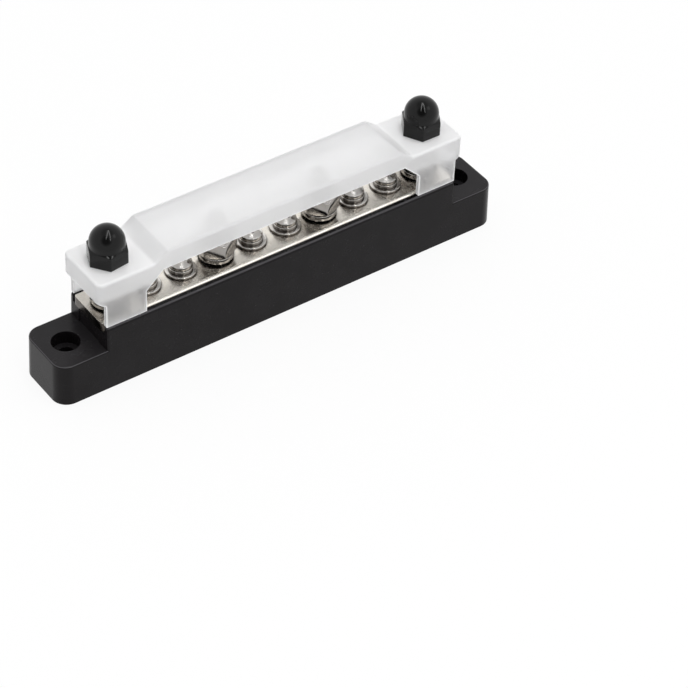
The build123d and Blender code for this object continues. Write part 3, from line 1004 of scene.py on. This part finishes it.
@dataclass
class TerminalScrew:
    """A pan head screw with a cross recess and a short thread."""

    number: int
    turn: float
    finish: bpy.types.Material
    recess_shade_finish: bpy.types.Material
    radius: float = 1.95 * MM
    root: float = 1.6 * MM
    pitch: float = 0.7 * MM
    head_radius: float = 3.2 * MM
    head_height: float = 2.2 * MM
    head_rim: float = 1.2 * MM
    head_corner: float = 0.15 * MM
    head_edge: float = 0.3 * MM
    crown_steps: int = 10
    cross_width: float = 3.0 * MM
    cross_slot: float = 0.9 * MM
    cross_depth: float = 1.5 * MM
    cross_taper: float = 0.62
    cross_rise: float = 0.05 * MM
    tip: float = 0.5 * MM
    overlap: float = 0.1 * MM
    steps: int = 40

    def build(self) -> None:
        """Builds the head with its recess, then adds the thread."""
        node = f"terminal_screw_{self.number}"
        x, low, high = stance(node)
        under = high - self.head_height
        head = self._head(under, high).finished("head", [self.finish, self.recess_shade_finish])
        cutter = self._cutter(high).finished("cutter", [self.finish, self.recess_shade_finish])
        for polygon in cutter.data.polygons:
            # The recess's cut faces take the darker finish, which paints the shade inside the recess.
            polygon.material_index = 1
        cut_head = self._carved(head, cutter)
        form = Form()
        self._thread(form, low, under)
        form.bm.from_mesh(cut_head)
        form.set_down(x, self.turn)
        for thing in (head, cutter):
            bpy.data.objects.remove(thing)
        piece = form.finished(f"pan_screw_{self.number}", [self.finish, self.recess_shade_finish])
        settle(piece, node, Slot.STEEL, node)

    def _head(self, under: float, high: float) -> Form:
        """Turns the pan head with its crowned top.

        Args:
            under: The height of its underside.
            high: The height of its crown.

        Returns:
            The mesh.
        """
        crown = self.head_height - self.head_rim
        sphere = (self.head_radius ** 2 + crown ** 2) / (2 * crown)
        reach = atan(self.head_radius / (sphere - crown))
        arc = [reach * step / self.crown_steps for step in range(self.crown_steps, -1, -1)]
        radius, corner = self.head_radius, self.head_corner
        form = Form()
        form.turn(
            [(0.0, under), (radius - corner, under), (radius, under + corner)]
            + [(sphere * sin(a), high - sphere + sphere * cos(a)) for a in arc], HEX_STEPS,
        )
        form.soften(self.head_edge, sharper_than=30.0, segments=4)
        return form

    def _cutter(self, high: float) -> Form:
        """Makes the tapered cross that cuts the recess.

        Args:
            high: The height of the head's crown.

        Returns:
            The mesh.
        """
        form = Form()
        for quarter in (0, 90):
            wing = bmesh.ops.create_cube(form.bm, size=1.0)["verts"]
            for vert in wing:
                deep = vert.co.z < 0
                taper = self.cross_taper if deep else 1.0
                height = high - self.cross_depth if deep else high + self.cross_rise
                length, width = self.cross_width * taper, self.cross_slot * taper
                vert.co = (vert.co.x * length, vert.co.y * width, height)
            across = Matrix.Rotation(radians(quarter), 3, "Z")
            bmesh.ops.rotate(form.bm, verts=wing, cent=(0, 0, 0), matrix=across)
        return form

    def _carved(self, head: bpy.types.Object, cutter: bpy.types.Object) -> bpy.types.Mesh:
        """Cuts the recess and gives the result.

        Args:
            head: The head.
            cutter: The cross.

        Returns:
            The cut mesh.
        """
        carve = head.modifiers.new("recess", "BOOLEAN")
        carve.object = cutter
        carve.operation = "DIFFERENCE"
        carve.solver = "EXACT"
        carve.use_self = True
        bpy.context.view_layer.update()
        return bpy.data.meshes.new_from_object(head.evaluated_get(bpy.context.evaluated_depsgraph_get()))

    def _thread(self, form: Form, low: float, under: float) -> None:
        """Winds the thread under the head.

        Args:
            form: The mesh.
            low: The height of the tip.
            under: The height of the head's underside.
        """
        root, crest = self.root, self.radius
        form.thread([(root, 0.0), (root, 0.1), (crest, 0.44)], self.pitch, self.steps, low - self.pitch,
                    low, under + self.overlap, lambda height: crest - self.tip + max(0.0, height - low))


@dataclass
class CapNut:
    """A moulded closed nut: a hexagon with a dome."""

    node: str
    name: str
    turn: float
    finish: bpy.types.Material
    flats: float = 10.2 * MM
    hex_height: float = 4.7 * MM
    dome: float = 4.9 * MM
    bore: float = 3.05 * MM
    bore_depth: float = 6.5 * MM
    bore_cone: float = 31.0
    countersink: float = 0.4 * MM
    edge: float = 0.16 * MM
    dome_steps: int = 16

    def build(self) -> None:
        """Turns the bore and the dome, flattens the hexagon and softens its edges."""
        x, low, high = stance(self.node)
        rim = self.flats / 2 / cos(SIXTH / 2)
        shoulder = low + self.hex_height
        spring = high - self.dome
        arc = [radians(90) * step / self.dome_steps for step in range(self.dome_steps + 1)]
        bore, sink, bottom = self.bore, self.countersink, low + self.bore_depth
        profile = [
            (0.0, bottom + bore * tan(radians(self.bore_cone))), (bore, bottom), (bore, low + sink),
            (bore + sink, low), (rim, low), (rim, shoulder - RIM_INSET), (self.dome, shoulder),
        ] + [(self.dome * cos(a), spring + self.dome * sin(a)) for a in arc]
        form = Form()
        form.turn(profile, ROUND_STEPS)
        form.flatten_to_hexagon(self.flats, rim, self.dome, low, shoulder, chamfer_low=False)
        form.soften(self.edge, sharper_than=24.0, segments=3)
        form.set_down(x, self.turn)
        piece = form.finished(self.name, [self.finish])
        settle(piece, self.node, Slot.CAP, self.node)


@dataclass(frozen=True)
class Lamp:
    """A soft rectangular lamp whose width lies along a direction."""

    name: str
    place: Triple
    width: float
    depth: float
    power: float
    along: Triple = (1.0, 0.0, 0.0)
    aim: Triple = (0.0, 0.0, 0.02)

    def hang(self) -> None:
        """Hangs the lamp and points it at its aim."""
        data = bpy.data.lights.new(self.name, "AREA")
        data.shape = "RECTANGLE"
        data.size, data.size_y = self.width, self.depth
        data.energy = self.power
        lamp = bpy.data.objects.new(self.name, data)
        lamp.location = self.place
        back = (Vector(self.place) - Vector(self.aim)).normalized()
        up = back.cross(Vector(self.along)).normalized()
        lamp.rotation_mode = "QUATERNION"
        lamp.rotation_quaternion = Matrix((up.cross(back), up, back)).transposed().to_quaternion()
        bpy.context.scene.collection.objects.link(lamp)


@dataclass
class Studio:
    """The pale floor, the soft lamps and the world."""

    lamps: Sequence[Lamp]
    size: float = 4.0
    floor: Colour = (0.9, 0.9, 0.9)
    shown: float = 0.9
    overhead: Ramp = (0.75, 0.95, 1.0, 0.6)
    flag: Triple = (-0.453, -0.592, 0.666)
    flagged: Ramp = (0.76, 0.97, 1.0, 0.15)

    def build(self) -> None:
        """Builds the floor, the lamps and the world."""
        self._floor()
        for lamp in self.lamps:
            lamp.hang()
        self._world()
        LOG.info("studio: floor, lamps and world")

    def _floor(self) -> None:
        """Lays a floor that shows mostly plain white and keeps the object's shadow."""
        form = Form()
        bmesh.ops.create_grid(form.bm, x_segments=1, y_segments=1, size=self.size)
        tree = FinishTree("studio_floor")
        path = tree.node("ShaderNodeLightPath", {}, {})
        rays = ("Is Camera Ray", "Is Glossy Ray", "Is Transmission Ray")
        camera, glossy, through = (Signal(tree, path.outputs[ray]) for ray in rays)
        held = {"operation": "ADD", "use_clamp": True}
        seen = tree.make("ShaderNodeMath", held, {0: camera + glossy, 1: through})
        plain = tree.node("ShaderNodeBsdfDiffuse", {}, {"Color": self.floor})
        white = tree.node("ShaderNodeEmission", {}, {"Color": WHITE, "Strength": 1.0})
        tree.layer(seen * self.shown, plain, white)
        tree.tree.nodes.remove(tree.shader)
        form.finished("studio_floor", [tree.material])

    def _world(self) -> None:
        """Sets a white light that is dimmer overhead, and dimmest round the camera as from a dark flag."""
        world = bpy.data.worlds.new("studio")
        world.use_nodes = True
        bpy.context.scene.world = world
        tree = ShaderTree(world.node_tree)
        way = tree.make("ShaderNodeTexCoord", {}, {}, "Generated")
        overhead = tree.between(tree.dot(way, UPWARDS), self.overhead)
        flagged = tree.between(tree.dot(way, self.flag), self.flagged)
        background = world.node_tree.nodes["Background"].inputs
        tree.feed(background["Color"], WHITE)
        tree.feed(background["Strength"], overhead * flagged)


@dataclass
class PhotoCamera:
    """The camera at the photograph's place and angle."""

    place: Triple = (-0.3348, -0.47391, 0.5001)
    forward: Triple = (0.453296, 0.591989, -0.666387)
    roll: float = 2.882
    lens: float = 144.08
    sensor: float = 36.0
    nearest: float = 0.01
    furthest: float = 20.0

    def build(self) -> None:
        """Sets the camera up."""
        data = bpy.data.cameras.new("photo_camera")
        data.lens = self.lens
        data.sensor_width = self.sensor
        data.clip_start, data.clip_end = self.nearest, self.furthest
        camera = bpy.data.objects.new("photo_camera", data)
        bpy.context.scene.collection.objects.link(camera)
        ahead = Vector(self.forward).normalized()
        level = ahead.cross(Vector(UPWARDS)).normalized()
        above = level.cross(ahead)
        tilt = radians(self.roll)
        right = level * cos(tilt) + above * sin(tilt)
        up = above * cos(tilt) - level * sin(tilt)
        turned = Matrix((right, up, -ahead)).transposed().to_4x4()
        camera.matrix_world = Matrix.Translation(self.place) @ turned
        bpy.context.scene.camera = camera
        LOG.info("camera at the photograph's angle")


# How far each piece is turned at rest, in degrees, from the left of the photograph.
NUT_TURNS = (0.0, 23.0, 19.5, 52.0)
WASHER_TURNS = (95.0, 156.0, 110.0, 60.0)
SCREW_TURNS = (12.0, 40.0, 75.0, 22.0, 58.0, 5.0)


def main() -> None:
    """Builds the pieces in order."""
    logging.basicConfig(level=logging.INFO, format="%(message)s")
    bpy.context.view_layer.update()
    view = bpy.context.scene.view_settings
    view.view_transform = "Standard"

    # The base's paler roundings and tops are painted highlight and painted sheen; the cap has none.
    black = MouldedBlack(
        "base_black", colour=(0.004, 0.003, 0.0035), scuff_and_sheen_colour=(0.12, 0.116, 0.124), roughness=0.24, gloss=0.13,
    ).material()
    cap_black = MouldedBlack(
        "cap_black", colour=(0.002, 0.002, 0.002), scuff_and_sheen_colour=(0.03, 0.03, 0.03), roughness=0.1, gloss=0.24,
        rounding_highlight=0.0, top_sheen=0.0, skin_depth=0.001 * MM, wave_depth=0.01 * MM,
    ).material()
    # Both metals get painted shade in their gaps and on their upright sides.
    nickel = PlatedMetal(
        "bar_nickel", colour=(0.86, 0.82, 0.75), stain=(0.80, 0.755, 0.68), roughness=0.24,
        shade_colour=(0.045, 0.036, 0.03), reach=1.1 * MM, side_shade=0.95,
    ).material()
    steel = PlatedMetal(
        "bright_steel", colour=(0.76, 0.74, 0.71), stain=(0.62, 0.59, 0.55), roughness=0.12, side_shade=0.62,
        grain=(1.0, 1.0, 1.0), grain_size=0.1 * MM, grain_depth=0.001 * MM,
    ).material()
    # A darker brown steel that paints the shade inside the screws' cross recesses.
    recess = PlatedMetal(
        "recess_shade_steel", colour=(0.34, 0.27, 0.21), stain=(0.2, 0.15, 0.11), roughness=0.38,
        grain=(1.0, 1.0, 1.0),
    ).material()
    # The cover's whiter edges and their glow are painted highlight and painted glow.
    frosted = FrostedPlastic(
        "cover_frosted", colour=(0.985, 0.985, 0.99), thicker=(0.965, 0.965, 0.97), roughness=0.34,
        clearness=0.82,
    ).material()

    rim = Rounding(
        top=20.6 * MM, length=114.3 * MM, width=18.63 * MM, corner=0.56 * MM, narrow=0.5 * MM, wide=1.3 * MM,
    )
    Moulding("base", "base_moulded", "base", Slot.BASE, black, 0.14 * MM, rounding=rim).build()
    Moulding("bar", "bar_plated", "base", Slot.BAR, nickel, 0.1 * MM).build()
    for number, (nut_turn, washer_turn) in enumerate(zip(NUT_TURNS, WASHER_TURNS), 1):
        Stud(number, steel).build()
        SprungWasher(number, washer_turn, steel).build()
        HexNut(number, nut_turn, steel).build()
    for number, turn in enumerate(SCREW_TURNS, 1):
        TerminalScrew(number, turn, steel, recess).build()
        PressedWasher(number, turn + 90.0, steel).build()
        PlainWasher(number, steel).build()
    Moulding("cover", "cover_frosted", "cover", Slot.COVER, frosted, 0.1 * MM).build()
    CapNut("cap_nut_left", "cap_left", 7.4, cap_black).build()
    CapNut("cap_nut_right", "cap_right", -0.8, cap_black).build()
    Studio((
        Lamp("overhead_left", place=(-0.11, -0.15, 1.05), width=1.12, depth=0.07, power=2.2,
             along=(0.7, 0.72, 0.0)),
        Lamp("overhead_right", place=(0.09, -0.4, 1.05), width=1.35, depth=0.07, power=2.6,
             along=(0.28, 0.96, 0.0)),
        Lamp("front", place=(0.5, -0.53, 0.83), width=0.35, depth=0.35, power=0.35),
    )).build()
    PhotoCamera().build()


if __name__ == "__main__":
    main()
